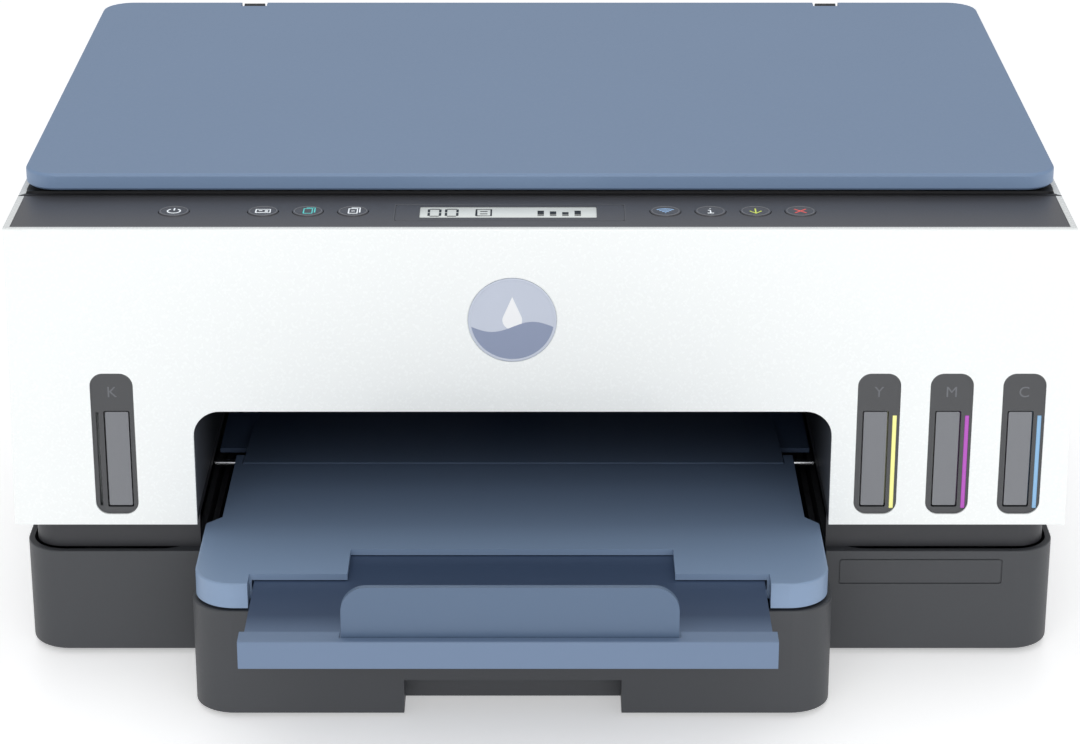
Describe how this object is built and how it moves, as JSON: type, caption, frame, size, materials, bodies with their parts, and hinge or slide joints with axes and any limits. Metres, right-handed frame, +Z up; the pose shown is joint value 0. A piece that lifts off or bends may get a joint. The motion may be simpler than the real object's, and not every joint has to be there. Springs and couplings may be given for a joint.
{
  "type": "inkjet printer",
  "caption": "Flatbed ink-tank inkjet printer with a front paper cassette, folding output tray, lift-up scanner unit and scanner lid.",
  "frame": {"origin": "under the middle of the printer's box, on the plane that its feet stand on", "axes": "+X to the printer's right hand side seen from the front, +Y to the rear, +Z up"},
  "size_m": [0.435, 0.421, 0.2018],
  "materials": {
    "white_shell": "satin",
    "blue_shell": "satin",
    "charcoal_shell": "fine texture",
    "neck_plastic": "fine texture",
    "panel_plastic": "satin",
    "lining_plastic": "matte",
    "bezel_plastic": "gloss",
    "lens_plastic": "gloss",
    "light_pipe": "gloss",
    "key_plastic": "satin",
    "badge_foil": "satin",
    "display_glass": "gloss",
    "foot_rubber": "matte",
    "zinc_steel": "zinc plated",
    "bright_steel": "ground",
    "circuit_board": "solder mask",
    "tank_plastic": "translucent",
    "cap_plastic": "satin",
    "inner_plastic": "matte",
    "plate_steel": "zinc plated",
    "gear_acetal": "satin",
    "roller_rubber": "matte",
    "motor_steel": "plated",
    "belt_rubber": "matte",
    "supply_plastic": "matte",
    "scanner_plastic": "matte",
    "scan_glass": "polished",
    "bar_plastic": "matte",
    "pad_foam": "matte foam sheet"
  },
  "bodies": {
    "chassis": {"upper_casing": "white_shell", "output_ramp": "blue_shell", "base_housing": "charcoal_shell", "mid_frame": "neck_plastic", "control_panel": "panel_plastic", "exit_lining": "lining_plastic", "gauge_bezels": "bezel_plastic", "gauge_lenses": "lens_plastic", "light_pipes": "light_pipe", "badge": "badge_foil", "display": "display_glass", "rubber_feet": "foot_rubber", "carriage_rail": "zinc_steel", "casing_screws": "zinc_steel", "tray_pins": "bright_steel", "pickup_shaft": "bright_steel", "control_board": "circuit_board", "main_board": "circuit_board", "ink_tanks": "tank_plastic", "platen": "inner_plastic", "capping_station": "inner_plastic", "roller_plates": "plate_steel", "feed_motor": "motor_steel", "carriage_motor": "motor_steel", "drive_belt": "belt_rubber", "power_supply": "supply_plastic"},
    "scanner_unit": {"scanner_frame": "scanner_plastic", "scanner_skirt": "white_shell", "scanner_glass": "scan_glass"},
    "scan_carriage": {"scan_bar": "bar_plastic"},
    "lid": {"lid_cover": "blue_shell", "lid_pad": "pad_foam"},
    "carriage": {"print_carriage": "inner_plastic"},
    "motor_pulley": {"motor_pulley": "gear_acetal"},
    "idler_pulley": {"idler_pulley": "gear_acetal"},
    "feed_roller": {"feed_roller": "roller_rubber"},
    "idler_gear": {"idler_gear": "gear_acetal"},
    "exit_roller": {"exit_roller": "roller_rubber"},
    "feed_pinion": {"feed_pinion": "gear_acetal"},
    "pickup_arm": {"pickup_arm": "inner_plastic"},
    "pickup_roller": {"pickup_roller": "roller_rubber"},
    "cassette": {"cassette": "charcoal_shell"},
    "guide_left": {"paper_guide_left": "inner_plastic"},
    "guide_right": {"paper_guide_right": "inner_plastic"},
    "output_tray": {"output_tray": "blue_shell"},
    "tray_extension": {"tray_extension": "blue_shell"},
    "paper_stop": {"paper_stop": "blue_shell"},
    "rear_door": {"rear_door": "inner_plastic"},
    "key_power": {"key_power": "key_plastic"},
    "key_copy_card": {"key_copy_card": "key_plastic"},
    "key_copy_colour": {"key_copy_colour": "key_plastic"},
    "key_copy_mono": {"key_copy_mono": "key_plastic"},
    "key_wireless": {"key_wireless": "key_plastic"},
    "key_info": {"key_info": "key_plastic"},
    "key_resume": {"key_resume": "key_plastic"},
    "key_cancel": {"key_cancel": "key_plastic"},
    "cap_black": {"tank_cap_black": "cap_plastic"},
    "cap_yellow": {"tank_cap_yellow": "cap_plastic"},
    "cap_magenta": {"tank_cap_magenta": "cap_plastic"},
    "cap_cyan": {"tank_cap_cyan": "cap_plastic"}
  },
  "joints": [
    {"name": "scanner_lift", "type": "hinge", "parent": "chassis", "child": "scanner_unit", "pos_m": [0, 0.1995, 0.161], "axis": [-1, 0, 0], "range_deg": [0, 45]},
    {"name": "scan_travel", "type": "slide", "parent": "scanner_unit", "child": "scan_carriage", "axis": [1, 0, 0], "range_m": [0, 0.29]},
    {"name": "lid_hinge", "type": "hinge", "parent": "scanner_unit", "child": "lid", "pos_m": [0, 0.2073, 0.199], "axis": [-1, 0, 0], "range_deg": [0, 85]},
    {"name": "press_power", "type": "slide", "parent": "chassis", "child": "key_power", "axis": [0, 0, -1], "range_m": [0, 0.0008], "stiffness_N_per_m": 400},
    {"name": "press_copy_card", "type": "slide", "parent": "chassis", "child": "key_copy_card", "axis": [0, 0, -1], "range_m": [0, 0.0008], "stiffness_N_per_m": 400},
    {"name": "press_copy_colour", "type": "slide", "parent": "chassis", "child": "key_copy_colour", "axis": [0, 0, -1], "range_m": [0, 0.0008], "stiffness_N_per_m": 400},
    {"name": "press_copy_mono", "type": "slide", "parent": "chassis", "child": "key_copy_mono", "axis": [0, 0, -1], "range_m": [0, 0.0008], "stiffness_N_per_m": 400},
    {"name": "press_wireless", "type": "slide", "parent": "chassis", "child": "key_wireless", "axis": [0, 0, -1], "range_m": [0, 0.0008], "stiffness_N_per_m": 400},
    {"name": "press_info", "type": "slide", "parent": "chassis", "child": "key_info", "axis": [0, 0, -1], "range_m": [0, 0.0008], "stiffness_N_per_m": 400},
    {"name": "press_resume", "type": "slide", "parent": "chassis", "child": "key_resume", "axis": [0, 0, -1], "range_m": [0, 0.0008], "stiffness_N_per_m": 400},
    {"name": "press_cancel", "type": "slide", "parent": "chassis", "child": "key_cancel", "axis": [0, 0, -1], "range_m": [0, 0.0008], "stiffness_N_per_m": 400},
    {"name": "open_cap_black", "type": "hinge", "parent": "chassis", "child": "cap_black", "pos_m": [-0.1747, -0.0215, 0.1364], "axis": [-1, 0, 0], "range_deg": [0, 100]},
    {"name": "open_cap_yellow", "type": "hinge", "parent": "chassis", "child": "cap_yellow", "pos_m": [0.13835, -0.0215, 0.1364], "axis": [-1, 0, 0], "range_deg": [0, 100]},
    {"name": "open_cap_magenta", "type": "hinge", "parent": "chassis", "child": "cap_magenta", "pos_m": [0.16795, -0.0215, 0.1364], "axis": [-1, 0, 0], "range_deg": [0, 100]},
    {"name": "open_cap_cyan", "type": "hinge", "parent": "chassis", "child": "cap_cyan", "pos_m": [0.19755, -0.0215, 0.1364], "axis": [-1, 0, 0], "range_deg": [0, 100]},
    {"name": "carriage_travel", "type": "slide", "parent": "chassis", "child": "carriage", "axis": [-1, 0, 0], "range_m": [0, 0.275]},
    {"name": "motor_pulley_spin", "type": "hinge", "parent": "chassis", "child": "motor_pulley", "pos_m": [-0.188, 0.123, 0.125], "axis": [0, -1, 0], "continuous": true},
    {"name": "idler_pulley_spin", "type": "hinge", "parent": "chassis", "child": "idler_pulley", "pos_m": [0.188, 0.123, 0.125], "axis": [0, -1, 0], "continuous": true},
    {"name": "feed_spin", "type": "hinge", "parent": "chassis", "child": "feed_roller", "pos_m": [0, 0.1195, 0.078], "axis": [1, 0, 0], "continuous": true},
    {"name": "idler_spin", "type": "hinge", "parent": "chassis", "child": "idler_gear", "pos_m": [0, 0.0765, 0.078], "axis": [1, 0, 0], "continuous": true},
    {"name": "exit_spin", "type": "hinge", "parent": "chassis", "child": "exit_roller", "pos_m": [0, 0.0445, 0.078], "axis": [1, 0, 0], "continuous": true},
    {"name": "pinion_spin", "type": "hinge", "parent": "chassis", "child": "feed_pinion", "pos_m": [0, 0.1475, 0.078], "axis": [1, 0, 0], "continuous": true},
    {"name": "pickup_swing", "type": "hinge", "parent": "chassis", "child": "pickup_arm", "pos_m": [0, 0.1165, 0.0585], "axis": [1, 0, 0], "range_deg": [0, 48]},
    {"name": "pickup_spin", "type": "hinge", "parent": "pickup_arm", "child": "pickup_roller", "pos_m": [-0.0112, 0.0665, 0.0585], "axis": [1, 0, 0], "continuous": true},
    {"name": "cassette_travel", "type": "slide", "parent": "chassis", "child": "cassette", "axis": [0, -1, 0], "range_m": [0, 0.2]},
    {"name": "guide_left_travel", "type": "slide", "parent": "cassette", "child": "guide_left", "axis": [1, 0, 0], "range_m": [0, 0.038]},
    {"name": "guide_right_travel", "type": "slide", "parent": "cassette", "child": "guide_right", "axis": [-1, 0, 0], "range_m": [0, 0.038]},
    {"name": "tray_lift", "type": "hinge", "parent": "chassis", "child": "output_tray", "pos_m": [0, -0.0275, 0.057], "axis": [-1, 0, 0], "range_deg": [0, 30]},
    {"name": "extension_travel", "type": "slide", "parent": "output_tray", "child": "tray_extension", "axis": [0, -1, 0], "range_m": [-0.052, 0.04]},
    {"name": "stop_fold", "type": "hinge", "parent": "tray_extension", "child": "paper_stop", "pos_m": [-0.0115, -0.2051, 0.0589], "axis": [-1, 0, 0], "range_deg": [0, 88]},
    {"name": "rear_door_swing", "type": "hinge", "parent": "chassis", "child": "rear_door", "pos_m": [0, 0.2091, 0.0732], "axis": [-1, 0, 0], "range_deg": [0, 80]}
  ],
  "couplings": [
    {"joint": "motor_pulley_spin", "follows": "carriage_travel", "rad_per_m": 135.14},
    {"joint": "idler_pulley_spin", "follows": "carriage_travel", "rad_per_m": 135.14},
    {"joint": "idler_spin", "follows": "feed_spin", "ratio": -1.0476},
    {"joint": "exit_spin", "follows": "feed_spin", "ratio": 2},
    {"joint": "pinion_spin", "follows": "feed_spin", "ratio": -3.6667},
    {"joint": "guide_right_travel", "follows": "guide_left_travel", "ratio": 1}
  ]
}
